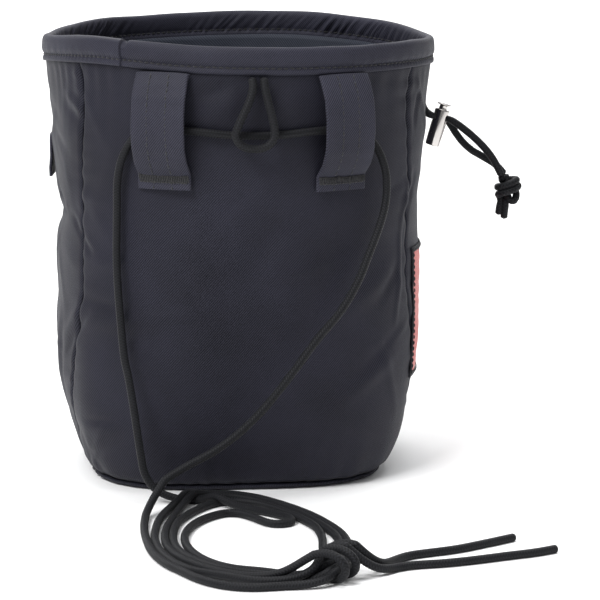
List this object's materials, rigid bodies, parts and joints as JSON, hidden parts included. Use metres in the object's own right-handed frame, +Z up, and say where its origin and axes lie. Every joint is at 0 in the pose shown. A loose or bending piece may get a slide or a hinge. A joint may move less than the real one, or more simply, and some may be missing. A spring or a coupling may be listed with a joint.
{
  "type": "climbing chalk bag",
  "caption": "Soft cylindrical chalk bag with a stiff hem round its open mouth, sewn belt loops on the back, a waist cord coiled in front and a drawcord with a sprung metal lock.",
  "frame": {"origin": "on the surface that the bag stands on, under the middle of its base (mount base)", "axes": "+Z up through the mouth, -Y towards the back of the bag with the belt loops, +X towards the cord lock"},
  "size_m": [0.1824, 0.2667, 0.165],
  "materials": {
    "shell_cloth": "fine twill nylon, dark navy grey",
    "lining_cloth": "brushed fleece, near black",
    "hem_cloth": "turned and stitched twill nylon",
    "webbing": "folded and stitched twill strip",
    "label_cloth": "woven patch, plain red field with a black border",
    "waist_cord": "dark herringbone braid",
    "draw_cord": "black herringbone braid",
    "lock_metal": "polished nickel"
  },
  "bodies": {
    "bag": {"back_panel": "shell_cloth", "front_panel": "shell_cloth", "base_panel": "shell_cloth", "lining": "lining_cloth", "rim_band": "hem_cloth", "belt_loop_left": "webbing", "belt_loop_right": "webbing", "side_tab": "webbing", "side_label": "label_cloth", "waist_cord_span": "waist_cord", "waist_cord_left": "waist_cord", "waist_cord_right": "waist_cord", "waist_cord_coil": "waist_cord", "waist_cord_tail_upper": "waist_cord", "waist_cord_tail_lower": "waist_cord", "pull_loop": "draw_cord", "drawcord_inner_front": "draw_cord", "drawcord_inner_rear": "draw_cord", "drawcord_outer_upper": "draw_cord", "drawcord_outer_lower": "draw_cord", "drawcord_knot": "draw_cord", "cord_lock_barrel": "lock_metal"},
    "plunger": {"cord_lock_plunger": "lock_metal"}
  },
  "joints": [
    {"name": "plunger_press", "type": "slide", "parent": "bag", "child": "plunger", "axis": [0.2756, 0, 0.9613], "range_m": [-0.0015, 0], "stiffness_N_per_m": 600, "springref_m": 0.002}
  ]
}
